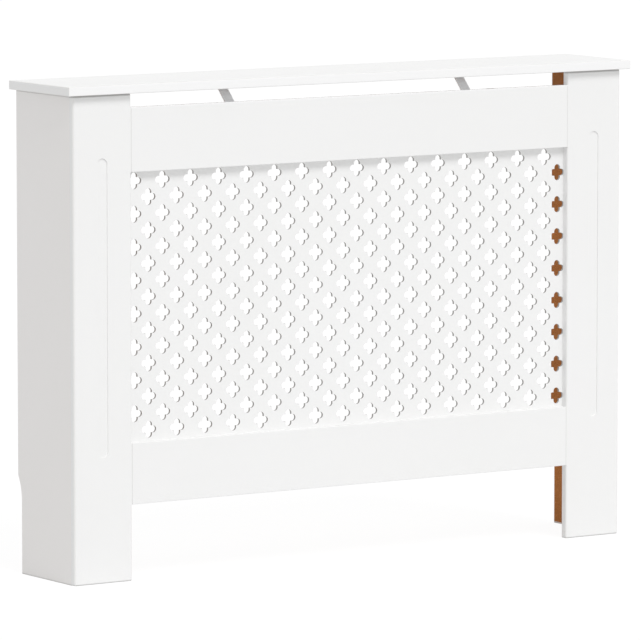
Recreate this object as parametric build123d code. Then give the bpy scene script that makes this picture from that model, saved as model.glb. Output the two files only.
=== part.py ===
from build123d import *
import math
import os

# Radiator cover cabinet: a lacquered fibreboard surround that stands against a wall
# over a radiator. Millimetres, +Z up, +X to the right seen from the front, +Y to the wall.
# The origin is on the floor, at the middle of the top board's plan.

# ---- driving dimensions ----------------------------------------------------------------

# the whole cover, and the top board that sets its plan
OVERALL_HEIGHT = 815.0
TOP_WIDTH = 1120.0
TOP_DEPTH = 190.0
TOP_THICKNESS = 15.0
TOP_ARRIS = 1.5
TOP_SIDE_OVERHANG = 14.0
TOP_FRONT_OVERHANG = 11.0

# outer corners of the body, and its rim under the top board
BODY_OUTER_ARRIS = 4.0

# side panels, with a cut-out at the lower rear corner for the skirting board
SIDE_THICKNESS = 15.0
SIDE_ARRIS = 0.8
SKIRTING_DEPTH = 11.5
SKIRTING_STRAIGHT_HEIGHT = 122.0
SKIRTING_TOP_HEIGHT = 163.0

# front frame: two stiles and two rails from one board thickness
FRAME_THICKNESS = 12.0
STILE_WIDTH = 110.0
STILE_INNER_ARRIS = 3.0
STILE_FOOT_ARRIS = 2.5
RAIL_ARRIS = 1.0
JOINT_ARRIS = 0.6
AIR_SLOT_HEIGHT = 23.0
UPPER_RAIL_HEIGHT = 106.0
LOWER_RAIL_HEIGHT = 101.0
FLOOR_GAP_HEIGHT = 126.0

# shallow flat-bottomed flute with round ends, down the middle of each stile
FLUTE_WIDTH = 19.0
FLUTE_DEPTH = 1.8
FLUTE_FLOOR_RADIUS = 0.6
FLUTE_RIM_ARRIS = 0.3
FLUTE_OVERRUN_ABOVE = 25.0
FLUTE_OVERRUN_BELOW = 20.0

# pierced panel behind the frame
LATTICE_THICKNESS = 4.0
LATTICE_OVERLAP = 20.0
LATTICE_PITCH = 54.6
LATTICE_EDGE_ALLOWANCE = 5.0
LATTICE_TOP_MARGIN = 15.5
QUATREFOIL_SPAN = 27.6
QUATREFOIL_ARM_WIDTH = 11.5

# bent steel straps that tie the top board to the upper rail
STRAP_WIDTH = 18.0
STRAP_THICKNESS = 2.0
STRAP_TAB_LENGTH = 24.0
STRAP_LEAN_DEGREES = 45.0
STRAP_DROP_BELOW_SLOT = 3.0
STRAP_OFFSET_FROM_MIDDLE = 235.8
STRAP_HOLE_FROM_END = 9.0

# steel angle brackets that hold the top board to the wall
BRACKET_LEG = 15.0
BRACKET_WIDTH = 16.0
BRACKET_THICKNESS = 2.0
BRACKET_OFFSET_FROM_MIDDLE = 400.0
BRACKET_HOLE_FROM_CORNER = 8.0
WALL_SCREW_HOLE_DIAMETER = 5.0

# small pan-head screws, used in the straps, the brackets and the pierced panel
SCREW_SHANK_DIAMETER = 3.5
SCREW_HEAD_DIAMETER = 7.0
SCREW_HEAD_HEIGHT = 2.4
SCREW_CROWN_RADIUS = 1.4
SCREW_TIP_COVER = 2.0
SCREW_TIP_DIAMETER = 0.6
SCREW_POINT_LENGTH = 3.0
SCREW_RECESS_WIDTH = 0.9
SCREW_RECESS_SPAN = 4.0
SCREW_RECESS_DEPTH = 1.3

# screws that hold the pierced panel to the stiles
PANEL_SCREWS_PER_STILE = 5
PANEL_SCREW_END_MARGIN = 30.0

# round-head pins that hold the pierced panel to the rails
PIN_SHANK_DIAMETER = 1.4
PIN_TIP_COVER = 5.0
PIN_HEAD_DIAMETER = 3.6
PIN_HEAD_HEIGHT = 0.8
PINS_PER_RAIL = 9
PIN_END_MARGIN = 40.0

# beech dowels
DOWEL_DIAMETER = 8.0
DOWEL_LENGTH = 28.0
DOWEL_CHAMFER = 0.8
DOWEL_COVER_IN_TOP = 6.0
DOWEL_COVER_IN_STILE = 4.0
SIDE_DOWELS_PER_STILE = 4
SIDE_DOWEL_END_MARGIN = 70.0
RAIL_DOWEL_DIAMETER = 6.0
RAIL_DOWEL_LENGTH = 30.0
RAIL_DOWEL_EDGE_MARGIN = 25.0

# eccentric cam fittings between the top board and the side panels
CAM_DIAMETER = 15.0
CAM_SOCKET_FLOOR = 3.0
CAM_DROP = 34.0
CAM_RECESS_WIDTH = 1.6
CAM_RECESS_SPAN = 9.0
CAM_RECESS_DEPTH = 2.0
CAM_BOLT_SHANK_DIAMETER = 6.0
CAM_BOLT_NECK_DIAMETER = 3.6
CAM_BOLT_HEAD_DIAMETER = 6.4
CAM_BOLT_HEAD_HEIGHT = 3.0
CAM_BOLT_THREAD_DIAMETER = 5.0
CAM_BOLT_COVER = 4.0
CAM_END_MARGIN = 42.0
TOP_DOWEL_END_MARGIN = 74.0

# clearances
HOLE_CLEARANCE = 0.2
BLIND_CLEARANCE = 0.5

# how near an edge lies to a place for it to be the one that is rounded
PICK_TOLERANCE = 0.01

# ---- fixing lengths, set by the boards they stop short of coming through -----------------

SCREW_LENGTH = FRAME_THICKNESS + STRAP_THICKNESS - SCREW_TIP_COVER
PIN_LENGTH = LATTICE_THICKNESS + FRAME_THICKNESS - PIN_TIP_COVER
DOWEL_DEPTH_IN_TOP = TOP_THICKNESS - DOWEL_COVER_IN_TOP
DOWEL_DEPTH_IN_STILE = FRAME_THICKNESS - DOWEL_COVER_IN_STILE
CAM_DEPTH = SIDE_THICKNESS - CAM_SOCKET_FLOOR
CAM_BOLT_THREAD_LENGTH = TOP_THICKNESS - CAM_BOLT_COVER

# ---- levels and planes that follow from them -------------------------------------------

WALL_Y = TOP_DEPTH / 2
FRONT_Y = TOP_FRONT_OVERHANG - TOP_DEPTH / 2
FRAME_BACK_Y = FRONT_Y + FRAME_THICKNESS
LATTICE_BACK_Y = FRAME_BACK_Y + LATTICE_THICKNESS
FRAME_MIDDLE_Y = (FRONT_Y + FRAME_BACK_Y) / 2

BODY_HEIGHT = OVERALL_HEIGHT - TOP_THICKNESS
BODY_HALF = TOP_WIDTH / 2 - TOP_SIDE_OVERHANG
SIDE_INNER_X = BODY_HALF - SIDE_THICKNESS
SIDE_MIDDLE_X = BODY_HALF - SIDE_THICKNESS / 2
OPENING_HALF = BODY_HALF - STILE_WIDTH

UPPER_RAIL_TOP = BODY_HEIGHT - AIR_SLOT_HEIGHT
OPENING_TOP = UPPER_RAIL_TOP - UPPER_RAIL_HEIGHT
LOWER_RAIL_BOTTOM = FLOOR_GAP_HEIGHT
OPENING_BOTTOM = LOWER_RAIL_BOTTOM + LOWER_RAIL_HEIGHT
FLUTE_X = BODY_HALF - STILE_WIDTH / 2
FLUTE_TOP = OPENING_TOP + FLUTE_OVERRUN_ABOVE
FLUTE_BOTTOM = OPENING_BOTTOM - FLUTE_OVERRUN_BELOW
LATTICE_TOP = OPENING_TOP + LATTICE_OVERLAP
LATTICE_BOTTOM = OPENING_BOTTOM - LATTICE_OVERLAP
LATTICE_COLUMNS = int((2 * OPENING_HALF + LATTICE_EDGE_ALLOWANCE) / LATTICE_PITCH)
LATTICE_ROWS = int((OPENING_TOP - OPENING_BOTTOM + LATTICE_EDGE_ALLOWANCE) / LATTICE_PITCH)

LEFT = -1
RIGHT = 1


def spread(count, low, high):
    """Evenly spaced places from low to high, both ends included."""
    return [low + (high - low) * i / (count - 1) for i in range(count)]


def box_between(x0, x1, y0, y1, z0, z1):
    """A block between two corners."""
    block = Box(abs(x1 - x0), abs(y1 - y0), abs(z1 - z0))
    return Pos((x0 + x1) / 2, (y0 + y1) / 2, (z0 + z1) / 2) * block


def rod(diameter, length, start, direction):
    """A round bar that starts at a point and runs along a direction."""
    axis = Plane(origin=start, z_dir=direction)
    return extrude(axis * Circle(diameter / 2), length)


def bore(diameter, depth, mouth, direction):
    """The tool that drills a blind hole for a round piece, with its clearances."""
    return rod(diameter + HOLE_CLEARANCE, depth + BLIND_CLEARANCE, mouth, direction)


def pilot(shank_diameter, depth, mouth, direction):
    """The tool that makes a screw's or pin's hole, just clear of its shank and point."""
    return rod(shank_diameter + HOLE_CLEARANCE, depth + HOLE_CLEARANCE, mouth, direction)


def arris(solid, radius, axis, x=None, y=None, z=None):
    """Rounds the edges of a solid that run along an axis at the places given."""
    chosen = solid.edges().filter_by(axis)
    for name, value in (("X", x), ("Y", y), ("Z", z)):
        if value is not None:
            chosen = chosen.filter_by(
                lambda e: abs(getattr(e.center(), name) - value) < PICK_TOLERANCE
            )
    return fillet(chosen, radius)


# ---- places of the fixings -------------------------------------------------------------

CAM_PLACES_Y = [FRAME_BACK_Y + CAM_END_MARGIN, WALL_Y - CAM_END_MARGIN]
TOP_DOWEL_PLACES_Y = [FRAME_BACK_Y + TOP_DOWEL_END_MARGIN, WALL_Y - TOP_DOWEL_END_MARGIN]
SIDE_DOWEL_PLACES_Z = spread(
    SIDE_DOWELS_PER_STILE, SIDE_DOWEL_END_MARGIN, BODY_HEIGHT - SIDE_DOWEL_END_MARGIN
)
RAIL_DOWEL_PLACES_Z = [
    LOWER_RAIL_BOTTOM + RAIL_DOWEL_EDGE_MARGIN,
    OPENING_BOTTOM - RAIL_DOWEL_EDGE_MARGIN,
    OPENING_TOP + RAIL_DOWEL_EDGE_MARGIN,
    UPPER_RAIL_TOP - RAIL_DOWEL_EDGE_MARGIN,
]
PANEL_SCREW_X = OPENING_HALF + LATTICE_OVERLAP / 2
PANEL_SCREW_PLACES_Z = spread(
    PANEL_SCREWS_PER_STILE, OPENING_BOTTOM + PANEL_SCREW_END_MARGIN, OPENING_TOP - PANEL_SCREW_END_MARGIN
)
PIN_PLACES_X = spread(PINS_PER_RAIL, PIN_END_MARGIN - OPENING_HALF, OPENING_HALF - PIN_END_MARGIN)
PIN_PLACES_Z = [OPENING_BOTTOM - LATTICE_OVERLAP / 2, OPENING_TOP + LATTICE_OVERLAP / 2]

STRAP_BEND_Z = UPPER_RAIL_TOP - STRAP_DROP_BELOW_SLOT
STRAP_FOOT_Z = STRAP_BEND_Z - STRAP_TAB_LENGTH
STRAP_RUN = (BODY_HEIGHT - STRAP_BEND_Z) * math.tan(math.radians(STRAP_LEAN_DEGREES))
STRAP_TOP_BEND_Y = FRAME_BACK_Y + STRAP_RUN
STRAP_END_Y = STRAP_TOP_BEND_Y + STRAP_TAB_LENGTH
STRAP_RAIL_SCREW_Z = STRAP_FOOT_Z + STRAP_HOLE_FROM_END
STRAP_TOP_SCREW_Y = STRAP_END_Y - STRAP_HOLE_FROM_END

BRACKET_TOP_SCREW_Y = WALL_Y - BRACKET_HOLE_FROM_CORNER
BRACKET_WALL_HOLE_Z = BODY_HEIGHT - BRACKET_HOLE_FROM_CORNER

UP = (0, 0, 1)
DOWN = (0, 0, -1)
TO_RIGHT = (1, 0, 0)
TO_WALL = (0, 1, 0)
TO_FRONT = (0, -1, 0)


# ---- boards ----------------------------------------------------------------------------

def top_board():
    """Plain shelf with lightly rounded arrises, drilled from below for its fixings."""
    board = Pos(0, 0, BODY_HEIGHT + TOP_THICKNESS / 2) * Box(TOP_WIDTH, TOP_DEPTH, TOP_THICKNESS)
    board = fillet(board.edges(), TOP_ARRIS)
    for side in (LEFT, RIGHT):
        for y in CAM_PLACES_Y:
            mouth = (side * SIDE_MIDDLE_X, y, BODY_HEIGHT)
            board -= bore(CAM_BOLT_THREAD_DIAMETER, CAM_BOLT_THREAD_LENGTH, mouth, UP)
        for y in TOP_DOWEL_PLACES_Y:
            mouth = (side * SIDE_MIDDLE_X, y, BODY_HEIGHT)
            board -= bore(DOWEL_DIAMETER, DOWEL_DEPTH_IN_TOP, mouth, UP)
        mouth = (side * STRAP_OFFSET_FROM_MIDDLE, STRAP_TOP_SCREW_Y, BODY_HEIGHT)
        board -= pilot(SCREW_SHANK_DIAMETER, SCREW_LENGTH - STRAP_THICKNESS, mouth, UP)
        mouth = (side * BRACKET_OFFSET_FROM_MIDDLE, BRACKET_TOP_SCREW_Y, BODY_HEIGHT)
        board -= pilot(SCREW_SHANK_DIAMETER, SCREW_LENGTH - BRACKET_THICKNESS, mouth, UP)
    return board


def side_outline():
    """The side panel seen from the end: a rectangle less the skirting cut-out.

    The cut-out is straight up from the floor and then sweeps out to the back edge on
    an arc that leaves the straight part without a corner."""
    rise = SKIRTING_TOP_HEIGHT - SKIRTING_STRAIGHT_HEIGHT
    notch_y = WALL_Y - SKIRTING_DEPTH
    radius = (rise ** 2 + SKIRTING_DEPTH ** 2) / (2 * SKIRTING_DEPTH)
    half_turn = math.asin(rise / radius) / 2
    middle_y = notch_y + radius * (1 - math.cos(half_turn))
    middle_z = SKIRTING_STRAIGHT_HEIGHT + radius * math.sin(half_turn)
    straight_end = (notch_y, SKIRTING_STRAIGHT_HEIGHT)
    sweep_end = (WALL_Y, SKIRTING_TOP_HEIGHT)
    outline = Wire(
        [
            Line((FRAME_BACK_Y, 0), (notch_y, 0)).edge(),
            Line((notch_y, 0), straight_end).edge(),
            ThreePointArc(straight_end, (middle_y, middle_z), sweep_end).edge(),
            Line(sweep_end, (WALL_Y, BODY_HEIGHT)).edge(),
            Line((WALL_Y, BODY_HEIGHT), (FRAME_BACK_Y, BODY_HEIGHT)).edge(),
            Line((FRAME_BACK_Y, BODY_HEIGHT), (FRAME_BACK_Y, 0)).edge(),
        ]
    )
    return Face(outline)


def side_panel(side):
    """End panel behind the stile, with cam sockets in its inner face near the top."""
    panel = extrude(Plane.YZ.offset(SIDE_INNER_X) * side_outline(), SIDE_THICKNESS)
    panel = arris(panel, BODY_OUTER_ARRIS, Axis.Y, x=BODY_HALF, z=BODY_HEIGHT)
    notch_y = WALL_Y - SKIRTING_DEPTH
    edges = panel.edges().filter_by(lambda e: e.center().Y > notch_y - PICK_TOLERANCE)
    edges = edges.filter_by(lambda e: abs(e.center().X - BODY_HALF) < PICK_TOLERANCE)
    edges = edges.filter_by(lambda e: e.center().Z < BODY_HEIGHT - PICK_TOLERANCE)
    panel = fillet(edges, SIDE_ARRIS)
    socket_z = BODY_HEIGHT - CAM_DROP
    for y in CAM_PLACES_Y:
        panel -= rod(CAM_DIAMETER, CAM_DEPTH, (SIDE_INNER_X, y, socket_z), TO_RIGHT)
        bolt_hole = CAM_BOLT_SHANK_DIAMETER + HOLE_CLEARANCE
        panel -= rod(bolt_hole, CAM_DROP, (SIDE_MIDDLE_X, y, BODY_HEIGHT), DOWN)
    for y in TOP_DOWEL_PLACES_Y:
        mouth = (SIDE_MIDDLE_X, y, BODY_HEIGHT)
        panel -= bore(DOWEL_DIAMETER, DOWEL_LENGTH - DOWEL_DEPTH_IN_TOP, mouth, DOWN)
    for z in SIDE_DOWEL_PLACES_Z:
        mouth = (SIDE_MIDDLE_X, FRAME_BACK_Y, z)
        panel -= bore(DOWEL_DIAMETER, DOWEL_LENGTH - DOWEL_DEPTH_IN_STILE, mouth, TO_WALL)
    return panel if side == RIGHT else mirror(panel, Plane.YZ)


def flute():
    """What a straight router bit with eased corners takes out down a stile's face."""
    middle = (FLUTE_X, FRONT_Y, (FLUTE_TOP + FLUTE_BOTTOM) / 2)
    face = Plane(origin=middle, x_dir=UP, z_dir=TO_WALL)
    cut = extrude(face * SlotOverall(FLUTE_TOP - FLUTE_BOTTOM, FLUTE_WIDTH), FLUTE_DEPTH)
    floor_y = FRONT_Y + FLUTE_DEPTH
    floor_edges = cut.edges().filter_by(lambda e: abs(e.center().Y - floor_y) < PICK_TOLERANCE)
    return fillet(floor_edges, FLUTE_FLOOR_RADIUS)


def on_flute_rim(place):
    """Whether the middle of an edge lies on the flute's rim."""
    in_face = abs(place.Y - FRONT_Y) < PICK_TOLERANCE
    across = abs(place.X - FLUTE_X) < FLUTE_WIDTH / 2 + PICK_TOLERANCE
    return in_face and across and FLUTE_BOTTOM - PICK_TOLERANCE < place.Z < FLUTE_TOP + PICK_TOLERANCE


def on_outer_rim(place):
    """Whether the middle of an edge lies on the outer corner or on the rim under the top."""
    at_side = abs(place.X - BODY_HALF) < PICK_TOLERANCE
    at_front = abs(place.Y - FRONT_Y) < PICK_TOLERANCE
    at_top = abs(place.Z - BODY_HEIGHT) < PICK_TOLERANCE
    return (at_side and at_front) or (at_top and (at_side or at_front))


def stile_length(low, high, inner_arris):
    """A length of the right stile, with one arris all along its inner front corner."""
    length = box_between(OPENING_HALF, BODY_HALF, FRONT_Y, FRAME_BACK_Y, low, high)
    rim = length.edges().filter_by(lambda e: on_outer_rim(e.center()))
    length = fillet(rim, BODY_OUTER_ARRIS)
    return arris(length, inner_arris, Axis.Z, x=OPENING_HALF, y=FRONT_Y)


def stile(side):
    """Upright of the front frame, with rounded arrises and the flute.

    The inner arris is full where that edge is free, and a hairline where a rail butts on."""
    board = stile_length(0, LOWER_RAIL_BOTTOM, STILE_INNER_ARRIS)
    board += stile_length(LOWER_RAIL_BOTTOM, OPENING_BOTTOM, JOINT_ARRIS)
    board += stile_length(OPENING_BOTTOM, OPENING_TOP, STILE_INNER_ARRIS)
    board += stile_length(OPENING_TOP, UPPER_RAIL_TOP, JOINT_ARRIS)
    board += stile_length(UPPER_RAIL_TOP, BODY_HEIGHT, STILE_INNER_ARRIS)
    foot = board.edges().filter_by(lambda e: abs(e.center().Z) < PICK_TOLERANCE)
    foot = foot.filter_by(lambda e: e.center().Y < FRAME_MIDDLE_Y - PICK_TOLERANCE)
    board = fillet(foot, STILE_FOOT_ARRIS)
    board -= flute()
    board = fillet(board.edges().filter_by(lambda e: on_flute_rim(e.center())), FLUTE_RIM_ARRIS)
    for z in SIDE_DOWEL_PLACES_Z:
        board -= bore(DOWEL_DIAMETER, DOWEL_DEPTH_IN_STILE, (SIDE_MIDDLE_X, FRAME_BACK_Y, z), TO_FRONT)
    for z in RAIL_DOWEL_PLACES_Z:
        mouth = (OPENING_HALF, FRAME_MIDDLE_Y, z)
        board -= bore(RAIL_DOWEL_DIAMETER, RAIL_DOWEL_LENGTH / 2, mouth, TO_RIGHT)
    for z in PANEL_SCREW_PLACES_Z:
        mouth = (PANEL_SCREW_X, FRAME_BACK_Y, z)
        board -= pilot(SCREW_SHANK_DIAMETER, SCREW_LENGTH - LATTICE_THICKNESS, mouth, TO_FRONT)
    return board if side == RIGHT else mirror(board, Plane.YZ)


def rail(bottom, top):
    """Cross piece of the front frame, butted between the stiles, flush with their face."""
    board = box_between(-OPENING_HALF, OPENING_HALF, FRONT_Y, FRAME_BACK_Y, bottom, top)
    for z in (bottom, top):
        board = arris(board, RAIL_ARRIS, Axis.X, y=FRONT_Y, z=z)
    for side in (LEFT, RIGHT):
        board = arris(board, JOINT_ARRIS, Axis.Z, x=side * OPENING_HALF, y=FRONT_Y)
        for z in RAIL_DOWEL_PLACES_Z:
            if bottom < z < top:
                mouth = (side * OPENING_HALF, FRAME_MIDDLE_Y, z)
                board -= bore(RAIL_DOWEL_DIAMETER, RAIL_DOWEL_LENGTH / 2, mouth, (-side, 0, 0))
    for x in PIN_PLACES_X:
        for z in PIN_PLACES_Z:
            if bottom < z < top:
                depth = PIN_LENGTH - LATTICE_THICKNESS
                board -= pilot(PIN_SHANK_DIAMETER, depth, (x, FRAME_BACK_Y, z), TO_FRONT)
    return board


def upper_rail():
    """The rail under the air slot, which also takes the foot of each strap."""
    board = rail(OPENING_TOP, UPPER_RAIL_TOP)
    for side in (LEFT, RIGHT):
        mouth = (side * STRAP_OFFSET_FROM_MIDDLE, FRAME_BACK_Y, STRAP_RAIL_SCREW_Z)
        board -= pilot(SCREW_SHANK_DIAMETER, SCREW_LENGTH - STRAP_THICKNESS, mouth, TO_FRONT)
    return board


# ---- pierced panel ---------------------------------------------------------------------

def quatrefoil():
    """One opening of the pattern: a cross with round-ended arms."""
    arm = SlotOverall(QUATREFOIL_SPAN, QUATREFOIL_ARM_WIDTH)
    return (arm + Rot(0, 0, 90) * arm).face().outer_wire()


def lattice_centres():
    """Two square grids of openings, the second half a pitch across and down."""
    half = LATTICE_PITCH / 2
    start_x = -(LATTICE_COLUMNS - 0.5) * half
    start_z = OPENING_TOP - LATTICE_TOP_MARGIN
    for row in range(LATTICE_ROWS):
        for column in range(LATTICE_COLUMNS):
            x = start_x + column * LATTICE_PITCH
            z = start_z - row * LATTICE_PITCH
            yield x, z
            yield x + half, z - half


def lattice_panel():
    """Thin board behind the frame, lapped over its back all round."""
    half = OPENING_HALF + LATTICE_OVERLAP
    middle_z = (LATTICE_TOP + LATTICE_BOTTOM) / 2
    outline = Pos(0, middle_z) * Rectangle(2 * half, LATTICE_TOP - LATTICE_BOTTOM)
    screw_hole = Circle((SCREW_SHANK_DIAMETER + HOLE_CLEARANCE) / 2).wire()
    pin_hole = Circle((PIN_SHANK_DIAMETER + HOLE_CLEARANCE) / 2).wire()
    openings = []
    for hole, places in (
        (quatrefoil(), lattice_centres()),
        (screw_hole, panel_screw_places()),
        (pin_hole, pin_places()),
    ):
        openings += [hole.moved(Location((x, z, 0))) for x, z in places]
    pierced = Face(outline.face().outer_wire(), openings)
    front = Plane(origin=(0, FRAME_BACK_Y, 0), x_dir=(1, 0, 0), z_dir=TO_FRONT)
    return extrude(front * pierced, -LATTICE_THICKNESS)


def panel_screw_places():
    """Screws through the panel's side margins into the backs of the stiles."""
    return [(side * PANEL_SCREW_X, z) for side in (LEFT, RIGHT) for z in PANEL_SCREW_PLACES_Z]


def pin_places():
    """Pins through the panel's top and bottom margins into the rails."""
    return [(x, z) for x in PIN_PLACES_X for z in PIN_PLACES_Z]


# ---- straps and brackets ---------------------------------------------------------------

def brace_strap(side):
    """Flat steel bent twice: a tab on the rail's back, a leaning part, a tab under the top."""
    lean = math.radians(STRAP_LEAN_DEGREES)
    low_corner = STRAP_THICKNESS * math.tan(lean / 2)
    high_corner = STRAP_THICKNESS * math.tan((math.pi / 2 - lean) / 2)
    underside = BODY_HEIGHT - STRAP_THICKNESS
    back = FRAME_BACK_Y + STRAP_THICKNESS
    outline = Polyline(
        (FRAME_BACK_Y, STRAP_FOOT_Z),
        (FRAME_BACK_Y, STRAP_BEND_Z),
        (STRAP_TOP_BEND_Y, BODY_HEIGHT),
        (STRAP_END_Y, BODY_HEIGHT),
        (STRAP_END_Y, underside),
        (STRAP_TOP_BEND_Y + high_corner, underside),
        (back, STRAP_BEND_Z - low_corner),
        (back, STRAP_FOOT_Z),
        close=True,
    )
    x = side * STRAP_OFFSET_FROM_MIDDLE
    strap = extrude(Plane.YZ.offset(x - STRAP_WIDTH / 2) * make_face(outline), STRAP_WIDTH)
    hole = SCREW_SHANK_DIAMETER + HOLE_CLEARANCE
    strap -= rod(hole, STRAP_THICKNESS, (x, FRAME_BACK_Y, STRAP_RAIL_SCREW_Z), TO_WALL)
    strap -= rod(hole, STRAP_THICKNESS, (x, STRAP_TOP_SCREW_Y, BODY_HEIGHT), DOWN)
    return strap


def wall_bracket(side):
    """Steel angle under the rear edge of the top board, with a hole for a wall screw."""
    x = side * BRACKET_OFFSET_FROM_MIDDLE
    half = BRACKET_WIDTH / 2
    leg_y = WALL_Y - BRACKET_LEG
    leg_z = BODY_HEIGHT - BRACKET_LEG
    bracket = box_between(x - half, x + half, leg_y, WALL_Y, leg_z, BODY_HEIGHT)
    inner_y = WALL_Y - BRACKET_THICKNESS
    inner_z = BODY_HEIGHT - BRACKET_THICKNESS
    bracket -= box_between(x - half, x + half, leg_y, inner_y, leg_z, inner_z)
    bracket = arris(bracket, BRACKET_THICKNESS, Axis.X, y=inner_y, z=inner_z)
    hole = SCREW_SHANK_DIAMETER + HOLE_CLEARANCE
    bracket -= rod(hole, BRACKET_THICKNESS, (x, BRACKET_TOP_SCREW_Y, BODY_HEIGHT), DOWN)
    wall_hole = (x, WALL_Y, BRACKET_WALL_HOLE_Z)
    bracket -= rod(WALL_SCREW_HOLE_DIAMETER, BRACKET_THICKNESS, wall_hole, TO_FRONT)
    return bracket


# ---- fixings ---------------------------------------------------------------------------

def pan_head_screw():
    """Small wood screw, head seat at the origin, shank up along +Z, cross recess below."""
    radius = SCREW_SHANK_DIAMETER / 2
    shank_end = SCREW_LENGTH - SCREW_POINT_LENGTH
    outline = Polyline(
        (0, 0),
        (0, SCREW_LENGTH),
        (SCREW_TIP_DIAMETER / 2, SCREW_LENGTH),
        (radius, shank_end),
        (radius, 0),
        close=True,
    )
    shank = revolve(Plane.XZ * make_face(outline), Axis.Z)
    head = Pos(0, 0, -SCREW_HEAD_HEIGHT / 2) * Cylinder(SCREW_HEAD_DIAMETER / 2, SCREW_HEAD_HEIGHT)
    crown = head.edges().filter_by(GeomType.CIRCLE).sort_by(Axis.Z)[0]
    head = fillet(crown, SCREW_CROWN_RADIUS)
    recess_z = SCREW_RECESS_DEPTH / 2 - SCREW_HEAD_HEIGHT
    for length, width in ((SCREW_RECESS_SPAN, SCREW_RECESS_WIDTH), (SCREW_RECESS_WIDTH, SCREW_RECESS_SPAN)):
        head -= Pos(0, 0, recess_z) * Box(length, width, SCREW_RECESS_DEPTH)
    return shank + head


def panel_pin():
    """Fine round-head pin, head seat at the origin, shank up along +Z."""
    point = PIN_SHANK_DIAMETER
    outline = Polyline(
        (0, -PIN_HEAD_HEIGHT),
        (0, PIN_LENGTH),
        (PIN_SHANK_DIAMETER / 2, PIN_LENGTH - point),
        (PIN_SHANK_DIAMETER / 2, 0),
        (PIN_HEAD_DIAMETER / 2, 0),
        (PIN_HEAD_DIAMETER / 2, -PIN_HEAD_HEIGHT / 2),
        (PIN_HEAD_DIAMETER / 4, -PIN_HEAD_HEIGHT),
        close=True,
    )
    return revolve(Plane.XZ * make_face(outline), Axis.Z)


def dowel(diameter, length, start, direction):
    """Beech pin with chamfered ends."""
    pin = rod(diameter, length, start, direction)
    return chamfer(pin.edges().filter_by(GeomType.CIRCLE), DOWEL_CHAMFER)


def cam_lock():
    """Die-cast cam, face at the origin, body along +X, bolt slot from above."""
    radius = (CAM_DIAMETER - HOLE_CLEARANCE) / 2
    depth = CAM_DEPTH - HOLE_CLEARANCE
    middle = SIDE_THICKNESS / 2
    cam = rod(2 * radius, depth, (0, 0, 0), TO_RIGHT)
    neck_slot = CAM_BOLT_NECK_DIAMETER + 2 * HOLE_CLEARANCE
    head_slot = CAM_BOLT_HEAD_DIAMETER + 2 * HOLE_CLEARANCE
    head_low = -CAM_BOLT_HEAD_HEIGHT / 2 - HOLE_CLEARANCE
    head_high = CAM_BOLT_HEAD_HEIGHT / 2 + HOLE_CLEARANCE
    cam -= box_between(
        middle - neck_slot / 2, middle + neck_slot / 2, -neck_slot / 2, neck_slot / 2, 0, radius
    )
    cam -= box_between(
        middle - head_slot / 2, middle + head_slot / 2, -head_slot / 2, head_slot / 2, head_low, head_high
    )
    for span_y, span_z in ((CAM_RECESS_SPAN, CAM_RECESS_WIDTH), (CAM_RECESS_WIDTH, CAM_RECESS_SPAN)):
        cam -= Pos(CAM_RECESS_DEPTH / 2, 0, 0) * Box(CAM_RECESS_DEPTH, span_y, span_z)
    return cam


def cam_bolt():
    """Steel bolt, top board's underside at the origin: thread up, shank, neck and head down."""
    head_centre = -CAM_DROP
    head_top = head_centre + CAM_BOLT_HEAD_HEIGHT / 2
    neck_top = head_centre + CAM_DIAMETER / 2 + HOLE_CLEARANCE
    bolt = rod(CAM_BOLT_THREAD_DIAMETER, CAM_BOLT_THREAD_LENGTH, (0, 0, 0), UP)
    bolt += rod(CAM_BOLT_SHANK_DIAMETER, -neck_top, (0, 0, neck_top), UP)
    bolt += rod(CAM_BOLT_NECK_DIAMETER, neck_top - head_top, (0, 0, head_top), UP)
    bolt += rod(CAM_BOLT_HEAD_DIAMETER, CAM_BOLT_HEAD_HEIGHT, (0, 0, head_top), DOWN)
    return bolt


def facing_front(x, y, z):
    """Where a screw or pin is driven forwards from a seat at this place."""
    return Location(Plane(origin=(x, y, z), x_dir=(1, 0, 0), z_dir=TO_FRONT))


def strap_screws():
    seats = []
    for side in (LEFT, RIGHT):
        x = side * STRAP_OFFSET_FROM_MIDDLE
        seats.append(facing_front(x, FRAME_BACK_Y + STRAP_THICKNESS, STRAP_RAIL_SCREW_Z))
        seats.append(Location((x, STRAP_TOP_SCREW_Y, BODY_HEIGHT - STRAP_THICKNESS)))
    return [pan_head_screw().moved(seat) for seat in seats]


def bracket_screws():
    z = BODY_HEIGHT - BRACKET_THICKNESS
    places = [(side * BRACKET_OFFSET_FROM_MIDDLE, BRACKET_TOP_SCREW_Y, z) for side in (LEFT, RIGHT)]
    return [pan_head_screw().moved(Location(place)) for place in places]


def panel_screws():
    return [pan_head_screw().moved(facing_front(x, LATTICE_BACK_Y, z)) for x, z in panel_screw_places()]


def panel_pins():
    return [panel_pin().moved(facing_front(x, LATTICE_BACK_Y, z)) for x, z in pin_places()]


def cam_locks():
    z = BODY_HEIGHT - CAM_DROP
    right = [cam_lock().moved(Location((SIDE_INNER_X, y, z))) for y in CAM_PLACES_Y]
    return right + [mirror(cam, Plane.YZ) for cam in right]


def cam_bolts():
    places = [(side * SIDE_MIDDLE_X, y, BODY_HEIGHT) for side in (LEFT, RIGHT) for y in CAM_PLACES_Y]
    return [cam_bolt().moved(Location(place)) for place in places]


def top_dowels():
    foot = BODY_HEIGHT + DOWEL_DEPTH_IN_TOP - DOWEL_LENGTH
    places = [(side * SIDE_MIDDLE_X, y, foot) for side in (LEFT, RIGHT) for y in TOP_DOWEL_PLACES_Y]
    return [dowel(DOWEL_DIAMETER, DOWEL_LENGTH, place, UP) for place in places]


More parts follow.
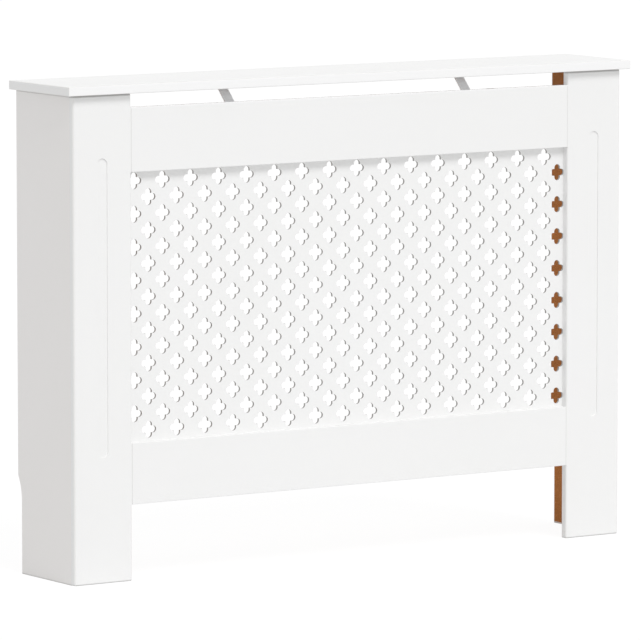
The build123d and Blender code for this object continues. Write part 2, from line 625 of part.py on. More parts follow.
def stile_dowels():
    start = FRAME_BACK_Y - DOWEL_DEPTH_IN_STILE
    places = [(side * SIDE_MIDDLE_X, start, z) for side in (LEFT, RIGHT) for z in SIDE_DOWEL_PLACES_Z]
    return [dowel(DOWEL_DIAMETER, DOWEL_LENGTH, place, TO_WALL) for place in places]


def rail_dowels():
    start = OPENING_HALF - RAIL_DOWEL_LENGTH / 2
    places = [(start, FRAME_MIDDLE_Y, z) for z in RAIL_DOWEL_PLACES_Z]
    right = [dowel(RAIL_DOWEL_DIAMETER, RAIL_DOWEL_LENGTH, place, TO_RIGHT) for place in places]
    return right + [mirror(pin, Plane.YZ) for pin in right]


# ---- one file for each node ------------------------------------------------------------

def solids_of(shape):
    """The solids of a piece, or of a list of like pieces."""
    if isinstance(shape, list):
        return [solid for piece in shape for solid in piece.solids()]
    return shape.solids()


def write_node(name, shape):
    solids = solids_of(shape)
    whole = solids[0] if len(solids) == 1 else Compound(children=solids)
    whole.label = name
    export_step(whole, os.path.join("parts", name + ".step"))


os.makedirs("parts", exist_ok=True)

write_node("top_board", top_board())
write_node("side_panel_left", side_panel(LEFT))
write_node("side_panel_right", side_panel(RIGHT))
write_node("stile_left", stile(LEFT))
write_node("stile_right", stile(RIGHT))
write_node("upper_rail", upper_rail())
write_node("lower_rail", rail(LOWER_RAIL_BOTTOM, OPENING_BOTTOM))
write_node("lattice_panel", lattice_panel())
write_node("brace_strap_left", brace_strap(LEFT))
write_node("brace_strap_right", brace_strap(RIGHT))
write_node("wall_bracket_left", wall_bracket(LEFT))
write_node("wall_bracket_right", wall_bracket(RIGHT))
write_node("strap_screws", strap_screws())
write_node("bracket_screws", bracket_screws())
write_node("front_panel_screws", panel_screws())
write_node("lattice_pins", panel_pins())
write_node("cam_locks", cam_locks())
write_node("cam_bolts", cam_bolts())
write_node("top_dowels", top_dowels())
write_node("stile_dowels", stile_dowels())
write_node("rail_dowels", rail_dowels())
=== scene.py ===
import math

import bpy
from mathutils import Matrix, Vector


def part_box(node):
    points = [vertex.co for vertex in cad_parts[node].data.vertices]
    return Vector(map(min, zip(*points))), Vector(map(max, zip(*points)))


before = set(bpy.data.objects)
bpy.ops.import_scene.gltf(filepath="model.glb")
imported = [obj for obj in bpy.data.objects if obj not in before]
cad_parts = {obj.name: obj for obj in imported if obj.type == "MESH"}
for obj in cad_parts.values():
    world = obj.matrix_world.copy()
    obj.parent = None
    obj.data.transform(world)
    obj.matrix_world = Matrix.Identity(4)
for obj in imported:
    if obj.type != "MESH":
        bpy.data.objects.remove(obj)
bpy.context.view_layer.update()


# ---- side panels -------------------------------------------------------------------------
# Two upright ends of 15 mm medium-density fibreboard, glued behind the stiles. The outside
# is sprayed with white satin lacquer; the inside is left as bare brown board, with a breath
# of spray mist just over its rims.

# A Mix node's colour sockets go by number, because it has several of each name.
SHARE, UNDER, OVER, MIXED = 0, 6, 7, 2


def linear(code):
    """An sRGB hex colour as the linear values a shader takes."""
    parts = [int(code[i:i + 2], 16) / 255 for i in (0, 2, 4)]
    light = [c / 12.92 if c <= 0.04045 else ((c + 0.055) / 1.055) ** 2.4 for c in parts]
    return (*light, 1.0)


def add(tree, kind, inputs=None, **settings):
    """A node with its settings; an input is a plain value or another node's output."""
    node = tree.nodes.new(kind)
    for name, value in settings.items():
        setattr(node, name, value)
    for key, value in (inputs or {}).items():
        if isinstance(value, bpy.types.NodeSocket):
            tree.links.new(value, node.inputs[key])
        else:
            node.inputs[key].default_value = value
    return node


def new_material(name):
    """An empty material and its node tree."""
    material = bpy.data.materials.new(name)
    material.use_nodes = True
    material.node_tree.nodes.clear()
    return material, material.node_tree


def give_surface(tree, inputs):
    """Ends a material's tree with its shader and its output."""
    shader = add(tree, "ShaderNodeBsdfPrincipled", inputs)
    add(tree, "ShaderNodeOutputMaterial", {"Surface": shader.outputs["BSDF"]})


def dress(material, *nodes):
    """Gives CAD nodes their material."""
    for node in nodes:
        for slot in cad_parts[node].material_slots:
            slot.material = material


# Bare medium-density fibreboard: wood fibre pressed to a felt-like face, sanded. Its fibres
# lie in every direction and are hair-fine, so they are drawn 0.6 mm wide to show. It has
# faint clouds from the pressing and the odd dark fleck of bark. The darker band that the
# side panels get inside, just below the top, is painted shade and not a mark of the board.
BARE_MID = "CA803B"
BARE_DARK = "9A5F2B"
BARE_LIGHT = "DDA164"
BARE_PAINTED_SHADE = 0.74
BARE_ROUGHNESS = 0.88
FIBRE_FLOCK_MM = 1.6
FIBRE_LENGTH_MM = 5.0
FIBRE_WIDTH_MM = 0.6
FIBRE_LAYS = ((0.5, 0.35, 0.65), (2.1, 1.47, 2.73))
FIBRE_CONTRAST = (0.18, 0.42)
PRESSING_CLOUD_MM = 71.4
PRESSING_SHADES = (0.9, 1.06)
BARK_SPACING_MM = 5.0
BARK_HEART_AND_EDGE = (0.06, 0.13)
BARK_SHADE = 0.55


def bare_board(tree, place, mid):
    """The colour and the height of bare fibreboard."""
    flock = add(tree, "ShaderNodeTexNoise", {
        "Vector": place, "Scale": 1000 / FIBRE_FLOCK_MM, "Detail": 5.0, "Roughness": 0.7,
        "Distortion": 0.8,
    })
    strands = []
    for turns in FIBRE_LAYS:
        lay = add(tree, "ShaderNodeMapping", {
            "Vector": place,
            "Rotation": turns,
            "Scale": (1000 / FIBRE_LENGTH_MM, 1000 / FIBRE_WIDTH_MM, 1000 / FIBRE_WIDTH_MM),
        })
        strands.append(add(tree, "ShaderNodeTexNoise", {
            "Vector": lay.outputs["Vector"], "Scale": 1.0, "Detail": 2.0,
        }).outputs["Fac"])
    crossed = add(tree, "ShaderNodeMath", {0: strands[0], 1: strands[1]}, operation="MAXIMUM")
    fibres = add(tree, "ShaderNodeMath", {0: crossed.outputs[0], 1: flock.outputs["Fac"]},
                 operation="MULTIPLY").outputs[0]
    tone = add(tree, "ShaderNodeMapRange", {
        "Value": fibres, "From Min": FIBRE_CONTRAST[0], "From Max": FIBRE_CONTRAST[1],
    })
    ramp = add(tree, "ShaderNodeValToRGB", {"Fac": tone.outputs["Result"]})
    ramp.color_ramp.elements[0].color = linear(BARE_DARK)
    ramp.color_ramp.elements[1].color = linear(BARE_LIGHT)
    ramp.color_ramp.elements.new(0.5).color = linear(mid)

    cloud = add(tree, "ShaderNodeTexNoise", {
        "Vector": place, "Scale": 1000 / PRESSING_CLOUD_MM, "Detail": 3.0,
    })
    pressed = add(tree, "ShaderNodeMapRange", {
        "Value": cloud.outputs["Fac"], "From Min": 0.3, "From Max": 0.7,
        "To Min": PRESSING_SHADES[0], "To Max": PRESSING_SHADES[1],
    })
    bark = add(tree, "ShaderNodeTexVoronoi", {
        "Vector": place, "Scale": 1000 / BARK_SPACING_MM,
    })
    fleck = add(tree, "ShaderNodeMapRange", {
        "Value": bark.outputs["Distance"], "From Min": BARK_HEART_AND_EDGE[0],
        "From Max": BARK_HEART_AND_EDGE[1], "To Min": BARK_SHADE, "To Max": 1.0,
    })
    colour = ramp.outputs["Color"]
    for shade in (pressed, fleck):
        colour = add(tree, "ShaderNodeVectorMath", {
            0: colour, "Scale": shade.outputs["Result"],
        }, operation="SCALE").outputs["Vector"]
    return colour, fibres


# White satin lacquer on fibreboard: sprayed, so it has a soft orange peel of 2 to 9 mm
# waves instead of brush marks, a sheen that varies a little from place to place, and a
# slightly darker line where it pulls thin over a rounded arris. Grey lines in a joint, at
# the foot and just under the top are painted shade; on the top's underside the same grey is
# a thin coat. A glossier edge is also drawn whiter, and that extra white is painted light.
LACQUER_WHITES = ("F4F4F4", "F1F1F0")
LACQUER_THIN = "E9E7E2"
LACQUER_GREY_AND_SHADE = "B5B4B2"
LACQUER_PAINTED_LIGHT = "F7F7F7"
SATIN_SHEEN = (0.4, 0.48)
FLOWED_SHEEN = 0.15
WHITE_DRIFT_MM = 286.0
PEEL_SHORT_MM = 2.2
PEEL_LONG_MM = 9.0
PEEL_LONG_SHARE = 2.0
PEEL_DEPTH = 0.00002
FELT_SHARE = 5.0
ARRIS_TO_FLAT = (0.8, 0.97)
WALL_BELOW = 0.5

# Spray mist on the bare face: specks, drawn 0.9 mm wide to show, that close up to a coat
# where they fall densely, with an edge that wanders in and out every 30 mm or so.
MIST_GRAIN_MM = 0.9
MIST_DRIFT_MM = 33.3
MIST_WANDER = 0.5
MIST_CLOSES = (0.55, 1.25)
BARE_SKIN = 0.00006


def distance(tree, along, axis, line):
    """How far a point lies from a line on the board."""
    gap = add(tree, "ShaderNodeMath", {0: along[axis], 1: line}, operation="SUBTRACT")
    return add(tree, "ShaderNodeMath", {0: gap.outputs[0]}, operation="ABSOLUTE").outputs[0]


def towards(tree, along, axis, line, start, full, low=0.0, high=1.0):
    """A value that goes from low to high between two distances from a line."""
    return add(tree, "ShaderNodeMapRange", {
        "Value": distance(tree, along, axis, line), "From Min": start, "From Max": full,
        "To Min": low, "To Max": high,
    }).outputs["Result"]


def uncovered(tree, place, along, bare_face, rims, mist):
    """How much bare board shows: 0 on all faces but one, and less where mist lies on that."""
    on_face = add(tree, "ShaderNodeMath", {
        0: distance(tree, along, *bare_face), 1: BARE_SKIN,
    }, operation="LESS_THAN")
    grain = add(tree, "ShaderNodeTexNoise", {
        "Vector": place, "Scale": 1000 / MIST_GRAIN_MM, "Detail": 2.0,
    })
    drift = add(tree, "ShaderNodeTexNoise", {
        "Vector": place, "Scale": 1000 / MIST_DRIFT_MM, "Detail": 2.0,
    })
    for axis, line, reach in rims:
        wander = add(tree, "ShaderNodeMath", {
            0: drift.outputs["Fac"], 1: -MIST_WANDER * reach, 2: distance(tree, along, axis, line),
        }, operation="MULTIPLY_ADD")
        near = add(tree, "ShaderNodeMapRange", {
            "Value": wander.outputs[0], "From Max": reach, "To Min": 1.0, "To Max": 0.0,
        }, interpolation_type="SMOOTHSTEP")
        mist = add(tree, "ShaderNodeMath", {0: mist, 1: near.outputs["Result"]},
                   operation="MAXIMUM").outputs[0]
    speckled = add(tree, "ShaderNodeMath", {0: grain.outputs["Fac"], 1: mist}, operation="ADD")
    still_open = add(tree, "ShaderNodeMapRange", {
        "Value": speckled.outputs[0], "From Min": MIST_CLOSES[0], "From Max": MIST_CLOSES[1],
        "To Min": 1.0, "To Max": 0.0,
    }, interpolation_type="SMOOTHSTEP")
    return add(tree, "ShaderNodeMath", {0: on_face.outputs[0], 1: still_open.outputs["Result"]},
               operation="MULTIPLY").outputs[0]


def lacquer(tree, place, along, bare_axis, whites, thin_arris, hole_wall, grey_coat_and_shade):
    """The lacquer's colour: two whites, a thin coat on arrises, and greys partly painted shade."""
    broad = add(tree, "ShaderNodeTexNoise", {
        "Vector": place, "Scale": 1000 / WHITE_DRIFT_MM, "Detail": 2.0,
    })
    coat = add(tree, "ShaderNodeMix", {
        SHARE: broad.outputs["Fac"], UNDER: linear(whites[0]), OVER: linear(whites[1]),
    }, data_type="RGBA")

    # A face's direction, split into its parts: one of them is 1 where the face is square to
    # the board, and all are smaller on a rounded arris.
    facing = add(tree, "ShaderNodeNewGeometry").outputs["True Normal"]
    unsigned = add(tree, "ShaderNodeVectorMath", {0: facing}, operation="ABSOLUTE")
    turned = add(tree, "ShaderNodeSeparateXYZ", {0: unsigned.outputs["Vector"]})
    squarest = turned.outputs["X"]
    for axis in ("Y", "Z"):
        squarest = add(tree, "ShaderNodeMath", {0: squarest, 1: turned.outputs[axis]},
                       operation="MAXIMUM").outputs[0]
    arris = add(tree, "ShaderNodeMapRange", {
        "Value": squarest, "From Min": ARRIS_TO_FLAT[0], "From Max": ARRIS_TO_FLAT[1],
        "To Min": thin_arris, "To Max": 0.0,
    })
    layers = [(arris.outputs["Result"], LACQUER_THIN)]
    if hole_wall:
        wall = add(tree, "ShaderNodeMath", {0: turned.outputs[bare_axis], 1: WALL_BELOW},
                   operation="LESS_THAN")
        layers.append((wall.outputs[0], hole_wall))
    # Painted shade: grey lines under the top, at the foot and by the stiles; on the underside, a
    # thin grey coat.
    for axis, line, clear, full, share in grey_coat_and_shade:
        layers.append((towards(tree, along, axis, line, clear, full, high=share),
                       LACQUER_GREY_AND_SHADE))
    for share, tint in layers:
        coat = add(tree, "ShaderNodeMix", {
            SHARE: share, UNDER: coat.outputs[MIXED], OVER: linear(tint),
        }, data_type="RGBA")
    return coat.outputs[MIXED]


def lacquered_board(name, bare_face, rims, mid=BARE_MID, whites=LACQUER_WHITES, thin_arris=0.0,
                    mist=0.0, hole_wall=None, grey_coat_and_shade=(), gloss_and_light=None, shade_band=None):
    """Lacquer outside and bare board on one face, which is given as (axis, place).

    rims are (axis, line, reach): spray mist reaches that far in over the bare face. mist is
    how much of it lies all over that face, as a value or a function that works it out.
    thin_arris is the thin coat's share on a rounded arris, and hole_wall the colour inside
    routed holes, partly painted shade. grey_coat_and_shade are (axis, line, clear, full,
    share): the coat greys by that share between two distances from a line, as painted shade,
    and on an underside as a thin grey coat. gloss_and_light and shade_band are (axis, line,
    start, full), for a glossier edge painted lighter and for bare board darkened as painted
    shade. X is measured from the middle to either side, so that a left and a right piece
    share a finish; all lengths are in metres."""
    material, tree = new_material(name)
    place = add(tree, "ShaderNodeTexCoord").outputs["Object"]
    split = add(tree, "ShaderNodeSeparateXYZ", {0: place})
    from_middle = add(tree, "ShaderNodeMath", {0: split.outputs["X"]}, operation="ABSOLUTE")
    along = {"X": from_middle.outputs[0], "Y": split.outputs["Y"], "Z": split.outputs["Z"],
             "across": split.outputs["X"]}

    if callable(mist):
        mist = mist(tree, along)
    bare = uncovered(tree, place, along, bare_face, rims, mist)
    coat = lacquer(tree, place, along, bare_face[0], whites, thin_arris, hole_wall, grey_coat_and_shade)
    board, fibres = bare_board(tree, place, mid)
    short_wave, long_wave = [
        add(tree, "ShaderNodeTexNoise", {
            "Vector": place, "Scale": 1000 / size, "Detail": 1.0,
        }).outputs["Fac"]
        for size in (PEEL_SHORT_MM, PEEL_LONG_MM)
    ]
    gloss = add(tree, "ShaderNodeMapRange", {
        "Value": long_wave, "From Min": 0.3, "From Max": 0.7, "To Min": SATIN_SHEEN[0],
        "To Max": SATIN_SHEEN[1],
    }).outputs["Result"]
    # A glossier edge, drawn whiter as well: the gloss is the finish, the extra white is painted
    # light.
    if gloss_and_light:
        gloss_light_share = towards(tree, along, *gloss_and_light)
        gloss = add(tree, "ShaderNodeMapRange", {
            "Value": gloss_light_share, "To Min": gloss, "To Max": FLOWED_SHEEN,
        }).outputs["Result"]
        coat = add(tree, "ShaderNodeMix", {
            SHARE: gloss_light_share, UNDER: coat, OVER: linear(LACQUER_PAINTED_LIGHT),
        }, data_type="RGBA").outputs[MIXED]
    # Painted shade: the bare board darkens towards a line, standing in for the shade under the
    # top.
    if shade_band:
        board = add(tree, "ShaderNodeVectorMath", {
            0: board, "Scale": towards(tree, along, *shade_band, low=1.0, high=BARE_PAINTED_SHADE),
        }, operation="SCALE").outputs["Vector"]

    colour = add(tree, "ShaderNodeMix", {SHARE: bare, UNDER: coat, OVER: board},
                 data_type="RGBA")
    rough = add(tree, "ShaderNodeMapRange", {
        "Value": bare, "To Min": gloss, "To Max": BARE_ROUGHNESS,
    })
    peel = add(tree, "ShaderNodeMath", {0: long_wave, 1: PEEL_LONG_SHARE, 2: short_wave},
               operation="MULTIPLY_ADD")
    felt = add(tree, "ShaderNodeMath", {0: fibres, 1: FELT_SHARE}, operation="MULTIPLY")
    height = add(tree, "ShaderNodeMapRange", {
        "Value": bare, "To Min": peel.outputs[0], "To Max": felt.outputs[0],
    })
    bump = add(tree, "ShaderNodeBump", {
        "Strength": 1.0, "Distance": PEEL_DEPTH, "Height": height.outputs["Result"],
    })
    give_surface(tree, {
        "Base Color": colour.outputs[MIXED], "Roughness": rough.outputs["Result"],
        "Normal": bump.outputs["Normal"],
    })
    return material


side_low, side_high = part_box("side_panel_right")

# The sides' whites are a shade warmer and lighter: painted light, for the warmer light on the
# shaded side.
SIDE_WHITES = ("F5F3F2", "F2F0EE")
SIDE_MIST = [("Y", side_high.y, 0.0012), ("Z", side_low.z, 0.003)]
# Painted shade: grey lines just under the top board and along the foot.
SIDE_SHADE_UNDER_TOP = ("Z", side_high.z, 0.0045, 0.0025, 0.3)
SHADE_AT_FOOT = ("Z", side_low.z, 0.0025, 0.0008, 0.6)
# Painted shade on the inside face: the bare board darkens towards the top board.
INSIDE_PAINTED_SHADE = ("Z", side_high.z, 0.065, 0.035)

side_finish = lacquered_board(
    "satin_lacquered_fibreboard_side", ("X", side_low.x), SIDE_MIST, whites=SIDE_WHITES,
    thin_arris=0.3, grey_coat_and_shade=[SIDE_SHADE_UNDER_TOP, SHADE_AT_FOOT], shade_band=INSIDE_PAINTED_SHADE,
)
dress(side_finish, "side_panel_left", "side_panel_right")


# ---- stiles ------------------------------------------------------------------------------
# Two uprights of 12 mm board at the front corners, with rounded arrises and one shallow
# flat-bottomed flute routed down each. Lacquered on the face and edges; the back is bare.

stile_low, stile_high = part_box("stile_right")

STILE_MIST = [("X", stile_low.x, 0.006), ("Z", stile_low.z, 0.006)]
# Painted shade: a grey line just under the top board.
STILE_SHADE_UNDER_TOP = ("Z", stile_high.z, 0.0045, 0.0025, 0.8)

stile_finish = lacquered_board(
    "satin_lacquered_fibreboard_stile", ("Y", stile_high.y), STILE_MIST, thin_arris=0.2,
    grey_coat_and_shade=[STILE_SHADE_UNDER_TOP, SHADE_AT_FOOT],
)
dress(stile_finish, "stile_left", "stile_right")


# ---- rails -------------------------------------------------------------------------------
# Two cross pieces of the same 12 mm board, butted between the stiles and flush with them.
# The spray also reaches a little way over the rims of their bare backs. The upper rail's top
# edge, which shows in the air slot, is glossier and painted lighter, and a grey line of
# painted shade runs where the rails meet the stiles.

RAIL_MIST_REACH = 0.007
# Painted shade: a grey line where the rails meet the stiles.
SHADE_AT_STILE = (0.0016, 0.001, 0.25)
# The upper rail's top edge: glossier, and painted lighter where the top board's shade falls.
GLOSSY_LIT_TOP_EDGE = (0.0025, 0.001)

for node in ("upper_rail", "lower_rail"):
    low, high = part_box(node)
    rail_finish = lacquered_board(
        "satin_lacquered_fibreboard_" + node, ("Y", high.y),
        [("Z", low.z, RAIL_MIST_REACH), ("Z", high.z, RAIL_MIST_REACH)],
        grey_coat_and_shade=[("X", high.x, *SHADE_AT_STILE)],
        gloss_and_light=("Z", high.z, *GLOSSY_LIT_TOP_EDGE) if node == "upper_rail" else None,
    )
    dress(rail_finish, node)


# ---- pierced panel -----------------------------------------------------------------------
# A 4 mm high-density board with staggered rows of routed quatrefoil holes, screwed and
# pinned to the back of the frame. It is sprayed from the front: the walls of the holes take
# a thin dull coat, drawn darker grey as painted shade inside the holes, and mist that goes
# through leaves a pale fringe round each hole behind.

HIGH_DENSITY_MID = "B87738"
# A thin dull coat in the holes, drawn darker as partly painted shade.
HOLE_WALL = "A9A8A6"
PANEL_MIST_REACH = 0.002
FRINGE_WIDTH = 0.005
FRINGE_MIST = 0.85

# The holes lie in two like grids, which together are centred on the panel's width. A hole
# is two round-ended slots, crossed.
PITCH = 0.0546
HOLE_COLUMNS = 16
HOLE_ROWS = 8
FIRST_COLUMN = -(HOLE_COLUMNS - 0.5) * PITCH / 2
FIRST_ROW = 0.6555
ARM_RADIUS = 0.00575
ARM_REACH = 0.00805


def hole_fringe(tree, along):
    """The mist round the holes, from most at a rim to none beyond the fringe.

    The second grid of holes lies half a pitch to the right of the first and as far below."""
    mist = 0.0
    for shift in (0.0, PITCH / 2):
        left = FIRST_COLUMN + shift - PITCH / 2
        top = FIRST_ROW - shift + PITCH / 2
        folded = []
        share = FRINGE_MIST
        for axis, low, high in (("across", left, left + HOLE_COLUMNS * PITCH),
                                ("Z", top - HOLE_ROWS * PITCH, top)):
            gap = add(tree, "ShaderNodeMath", {0: along[axis], 1: low + PITCH / 2},
                      operation="SUBTRACT")
            folded.append(add(tree, "ShaderNodeMath", {0: gap.outputs[0], 1: PITCH / 2},
                              operation="PINGPONG").outputs[0])
            for kind, limit in (("GREATER_THAN", low), ("LESS_THAN", high)):
                within = add(tree, "ShaderNodeMath", {0: along[axis], 1: limit}, operation=kind)
                share = add(tree, "ShaderNodeMath", {0: share, 1: within.outputs[0]},
                            operation="MULTIPLY").outputs[0]
        nearest = 1.0
        for across, up in (folded, folded[::-1]):
            past = add(tree, "ShaderNodeMath", {0: across, 1: ARM_REACH}, operation="SUBTRACT")
            past = add(tree, "ShaderNodeMath", {0: past.outputs[0], 1: 0.0}, operation="MAXIMUM")
            spot = add(tree, "ShaderNodeCombineXYZ", {"X": past.outputs[0], "Y": up})
            reach = add(tree, "ShaderNodeVectorMath", {0: spot.outputs[0]}, operation="LENGTH")
            nearest = add(tree, "ShaderNodeMath", {0: nearest, 1: reach.outputs["Value"]},
                          operation="MINIMUM").outputs[0]
        fringe = add(tree, "ShaderNodeMapRange", {
            "Value": nearest, "From Min": ARM_RADIUS, "From Max": ARM_RADIUS + FRINGE_WIDTH,
            "To Min": 1.0, "To Max": 0.0,
        })
        settled = add(tree, "ShaderNodeMath", {0: fringe.outputs["Result"], 1: share},
                      operation="MULTIPLY")
        mist = add(tree, "ShaderNodeMath", {0: mist, 1: settled.outputs[0]},
                   operation="MAXIMUM").outputs[0]
    return mist


panel_low, panel_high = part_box("lattice_panel")
panel_rims = (("X", panel_high.x), ("Z", panel_low.z), ("Z", panel_high.z))

panel_finish = lacquered_board(
    "satin_lacquered_high_density_board", ("Y", panel_high.y),
    [(*rim, PANEL_MIST_REACH) for rim in panel_rims], mid=HIGH_DENSITY_MID,
    mist=hole_fringe, hole_wall=HOLE_WALL,
)
dress(panel_finish, "lattice_panel")


# ---- top board ---------------------------------------------------------------------------
# A plain 15 mm shelf with all its arrises rounded, held down by cams, dowels and straps.
# Lacquered above and round its edges. The front edge is glossier and painted lighter, and
# the arrises are a little darker, partly as painted shade; the underside has one thin grey
# coat over the brown.

top_low, top_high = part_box("top_board")

TOP_MIST = [("X", top_high.x, 0.06), ("Y", top_low.y, 0.06), ("Y", top_high.y, 0.02)]
UNDERSIDE_MIST = 0.66
UNDERSIDE_GREY = ("Z", top_low.z, 0.0004, 0.0001, 0.3)
# The front edge: glossier, and painted lighter as well.
GLOSSY_LIT_FRONT = ("Y", top_low.y, 0.0004, 0.0001)

# The top's larger thin-arris share darkens its arrises, partly as painted shade against the lamp's
# highlight.
top_finish = lacquered_board(
    "satin_lacquered_fibreboard_top", ("Z", top_low.z), TOP_MIST, thin_arris=0.5,
    mist=UNDERSIDE_MIST, grey_coat_and_shade=[UNDERSIDE_GREY], gloss_and_light=GLOSSY_LIT_FRONT,
)
dress(top_finish, "top_board")


# ---- straps ------------------------------------------------------------------------------
# Two straps of 18 by 2 mm mild steel, bent twice and powder-coated white. They tie the top
# to the back of the upper rail, with a screw through each end.

# White polyester powder coat on strip steel: an even dull white with a fine orange peel of
# 1.5 mm, a shade greyer and duller wherever the powder melted thin.
POWDER_WHITES = ("F8FAFC", "F0F2F4")
POWDER_SHEEN = (0.45, 0.6)
POWDER_PEEL_MM = 1.5
POWDER_PEEL_DEPTH = 0.00002


def fine_grained(name, grain_mm, depth, tones, sheen, detail=2.0, metallic=0.0):
    """A finish whose one fine grain sets its tone, its dullness and its relief."""
    material, tree = new_material(name)
    place = add(tree, "ShaderNodeTexCoord").outputs["Object"]
    grain = add(tree, "ShaderNodeTexNoise", {
        "Vector": place, "Scale": 1000 / grain_mm, "Detail": detail,
    }).outputs["Fac"]
    colour = add(tree, "ShaderNodeMix", {
        SHARE: grain, UNDER: linear(tones[0]), OVER: linear(tones[1]),
    }, data_type="RGBA")
    rough = add(tree, "ShaderNodeMapRange", {
        "Value": grain, "To Min": sheen[0], "To Max": sheen[1],
    })
    bump = add(tree, "ShaderNodeBump", {"Strength": 1.0, "Distance": depth, "Height": grain})
    give_surface(tree, {
        "Base Color": colour.outputs[MIXED], "Metallic": metallic,
        "Roughness": rough.outputs["Result"], "Normal": bump.outputs["Normal"],
    })
    return material


strap_finish = fine_grained("white_powder_coated_strip_steel", POWDER_PEEL_MM,
                            POWDER_PEEL_DEPTH, POWDER_WHITES, POWDER_SHEEN)
dress(strap_finish, "brace_strap_left", "brace_strap_right")


# ---- wall angles, screws, pins and bolts -------------------------------------------------
# Two small steel angles under the rear edge of the top take the wall screws. They and all
# the screws, pins and cam bolts are bright zinc-plated.

# Bright zinc plate on cold-rolled steel: a cool grey satin metal with fine rolling lines
# 0.4 mm apart and faint cloudy patches where the plating bath left it duller.
ZINC = "C6C9CC"
ZINC_DULL = "AEB1B5"
ROLLING_LINE_MM = 0.4
ROLLING_LENGTH_MM = 30.0
ROLLING_DEPTH = 0.00001
BATH_CLOUD_MM = 12.0
ANGLE_SHEEN = (0.33, 0.48)
FIXING_SHEEN = (0.25, 0.4)


def drawn_lines(tree, place, axis, width_mm, length_mm, detail=2.0):
    """Fine lines that run along one axis."""
    stretch = [1000 / width_mm] * 3
    stretch["XYZ".index(axis)] = 1000 / length_mm
    lay = add(tree, "ShaderNodeMapping", {"Vector": place, "Scale": stretch})
    return add(tree, "ShaderNodeTexNoise", {
        "Vector": lay.outputs["Vector"], "Scale": 1.0, "Detail": detail,
    }).outputs["Fac"]


def zinc_plate(name, lines_along, sheen):
    """Zinc-plated steel with rolling lines along one axis, duller in its cloudy patches."""
    material, tree = new_material(name)
    place = add(tree, "ShaderNodeTexCoord").outputs["Object"]
    lines = drawn_lines(tree, place, lines_along, ROLLING_LINE_MM, ROLLING_LENGTH_MM)
    cloud = add(tree, "ShaderNodeTexNoise", {
        "Vector": place, "Scale": 1000 / BATH_CLOUD_MM, "Detail": 3.0,
    }).outputs["Fac"]
    patch = add(tree, "ShaderNodeMapRange", {"Value": cloud, "From Min": 0.4, "From Max": 0.65})
    colour = add(tree, "ShaderNodeMix", {
        SHARE: patch.outputs["Result"], UNDER: linear(ZINC), OVER: linear(ZINC_DULL),
    }, data_type="RGBA")
    rough = add(tree, "ShaderNodeMapRange", {
        "Value": cloud, "From Min": 0.35, "From Max": 0.65, "To Min": sheen[0],
        "To Max": sheen[1],
    })
    bump = add(tree, "ShaderNodeBump", {
        "Strength": 1.0, "Distance": ROLLING_DEPTH, "Height": lines,
    })
    give_surface(tree, {
        "Base Color": colour.outputs[MIXED], "Metallic": 1.0,
        "Roughness": rough.outputs["Result"], "Normal": bump.outputs["Normal"],
    })
    return material


angle_finish = zinc_plate("zinc_plated_strip_steel", "Z", ANGLE_SHEEN)
dress(angle_finish, "wall_bracket_left", "wall_bracket_right")
fixing_finish = zinc_plate("zinc_plated_fixings", "X", FIXING_SHEEN)
dress(fixing_finish, "strap_screws", "bracket_screws", "front_panel_screws", "lattice_pins",
      "cam_bolts")


# ---- cams --------------------------------------------------------------------------------
# Four eccentric locks sunk in the side panels near the top, which draw the bolt heads down
# when they are turned. They are die cast and tumbled, with no plating.

# Die-cast zinc alloy: duller and darker than plate, with a fine cast grain of 0.5 mm.
CAST_GREYS = ("9EA1A5", "85888C")
CAST_SHEEN = (0.42, 0.62)
CAST_GRAIN_MM = 0.5
CAST_GRAIN_DEPTH = 0.00003

cam_finish = fine_grained("die_cast_zinc_alloy", CAST_GRAIN_MM, CAST_GRAIN_DEPTH, CAST_GREYS,
                          CAST_SHEEN, detail=3.0, metallic=1.0)
dress(cam_finish, "cam_locks")


# ---- dowels ------------------------------------------------------------------------------
# Short beech pins that register the top, the stiles and the rails, turned and left bare.
# Those under the top are a push fit, so that it lifts off; the others are glued in.

# Turned beech, bare: pale pinkish tan, with fine darker grain lines 0.7 mm apart that run
# along the pin.
BEECH = "D9B48C"
BEECH_GRAIN = "C0966A"
BEECH_ROUGHNESS = 0.62
BEECH_LINE_MM = 0.7
BEECH_LENGTH_MM = 14.0
BEECH_DEPTH = 0.00003

for node, axis in (("top_dowels", "Z"), ("stile_dowels", "Y"), ("rail_dowels", "X")):
    material, tree = new_material("turned_beech_" + axis.lower())
    place = add(tree, "ShaderNodeTexCoord").outputs["Object"]
    lines = drawn_lines(tree, place, axis, BEECH_LINE_MM, BEECH_LENGTH_MM, detail=3.0)
    tone = add(tree, "ShaderNodeMapRange", {"Value": lines, "From Min": 0.4, "From Max": 0.7})
    colour = add(tree, "ShaderNodeMix", {
        SHARE: tone.outputs["Result"], UNDER: linear(BEECH), OVER: linear(BEECH_GRAIN),
    }, data_type="RGBA")
    bump = add(tree, "ShaderNodeBump", {
        "Strength": 1.0, "Distance": BEECH_DEPTH, "Height": lines,
    })
    give_surface(tree, {
        "Base Color": colour.outputs[MIXED], "Roughness": BEECH_ROUGHNESS,
        "Normal": bump.outputs["Normal"],
    })
    dress(material, node)


# ---- floor -------------------------------------------------------------------------------
# A plain floor of pale studio paper that runs past every view. It lights the cover as pale
# paper does and is shown nearly white, with the cover's own soft shadow left on it.

FLOOR_SIZE = 160.0
FLOOR_COLOUR = "E7E7E7"
FLOOR_ROUGHNESS = 0.9
FLOOR_SPECULAR = 0.1
WHITENED_SHARE = 0.88
WHITENED_LEVEL = 1.06


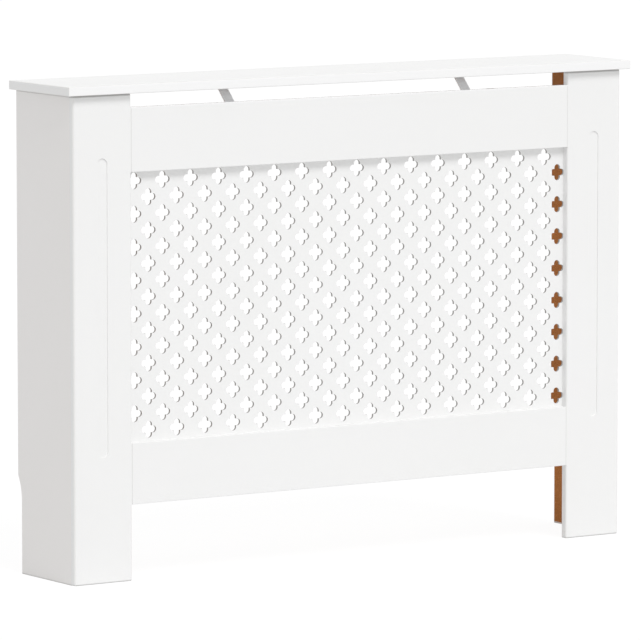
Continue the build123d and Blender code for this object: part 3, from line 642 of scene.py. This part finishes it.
def shown(tree):
    """1 for the rays that show a thing, straight, mirrored or through glass, and else 0."""
    rays = add(tree, "ShaderNodeLightPath")
    seen = rays.outputs["Is Camera Ray"]
    for kind in ("Is Glossy Ray", "Is Transmission Ray"):
        seen = add(tree, "ShaderNodeMath", {0: seen, 1: rays.outputs[kind]},
                   operation="MAXIMUM").outputs[0]
    return seen


bpy.ops.object.select_all(action="DESELECT")
bpy.ops.mesh.primitive_plane_add(size=FLOOR_SIZE, location=(0, 0, 0))
floor = bpy.context.object
floor.name = "studio_floor"
material, tree = new_material("studio_floor_paper")
paper = add(tree, "ShaderNodeBsdfPrincipled", {
    "Base Color": linear(FLOOR_COLOUR), "Roughness": FLOOR_ROUGHNESS,
    "Specular IOR Level": FLOOR_SPECULAR,
})
white = add(tree, "ShaderNodeEmission", {
    "Color": linear("FFFFFF"), "Strength": WHITENED_LEVEL,
})
share = add(tree, "ShaderNodeMath", {0: shown(tree), 1: WHITENED_SHARE}, operation="MULTIPLY")
blend = add(tree, "ShaderNodeMixShader", {
    0: share.outputs[0], 1: paper.outputs["BSDF"], 2: white.outputs["Emission"],
})
add(tree, "ShaderNodeOutputMaterial", {"Surface": blend.outputs["Shader"]})
floor.data.materials.append(material)


# ---- light -------------------------------------------------------------------------------
# A soft white surround lights every face. One large lamp high in front lights the front and
# the top, and throws the short shadows under the top board and the upper rail.

SURROUND_LEVEL = 0.648
LAMP_TOWARDS = Vector((0.0, -0.625, 0.781))
LAMP_STRENGTH = 1.372
LAMP_SPREAD = math.radians(24)


def aim(data, back):
    """Puts a lamp or a camera in the scene with its back turned that way."""
    aimed = bpy.data.objects.new(data.name, data)
    aimed.rotation_mode = "QUATERNION"
    aimed.rotation_quaternion = back.to_track_quat("Z", "Y")
    bpy.context.scene.collection.objects.link(aimed)
    return aimed


world = bpy.data.worlds.new("studio_surround")
bpy.context.scene.world = world
world.use_nodes = True
tree = world.node_tree
tree.nodes.clear()
level = add(tree, "ShaderNodeMapRange", {
    "Value": shown(tree), "To Min": SURROUND_LEVEL, "To Max": 1.0,
})
sky = add(tree, "ShaderNodeBackground", {
    "Color": linear("FFFFFF"), "Strength": level.outputs["Result"],
})
add(tree, "ShaderNodeOutputWorld", {"Surface": sky.outputs["Background"]})

lamp = bpy.data.lights.new("front_lamp", "SUN")
lamp.energy = LAMP_STRENGTH
lamp.angle = LAMP_SPREAD
aim(lamp, LAMP_TOWARDS)


# ---- camera ------------------------------------------------------------------------------
# A long lens far off to the front left and a little above, at the photograph's angle. It is
# tilted down at the cover and not shifted, so that the cover stays in the middle from every
# other side too.

CAMERA_PLACE = (-6.0045, -9.0544, 1.6083)
CAMERA_AZIMUTH = math.radians(-33.496)
CAMERA_ELEVATION = math.radians(6.373)
CAMERA_LENS = 366.7
CAMERA_SENSOR = 36.0
CAMERA_FAR = 300.0

camera = bpy.data.cameras.new("camera")
camera.lens = CAMERA_LENS
camera.sensor_width = CAMERA_SENSOR
camera.clip_end = CAMERA_FAR
camera_object = aim(camera, Vector((
    math.sin(CAMERA_AZIMUTH) * math.cos(CAMERA_ELEVATION),
    -math.cos(CAMERA_AZIMUTH) * math.cos(CAMERA_ELEVATION),
    math.sin(CAMERA_ELEVATION),
)))
camera_object.location = CAMERA_PLACE
bpy.context.scene.camera = camera_object
bpy.context.scene.view_settings.view_transform = "Standard"
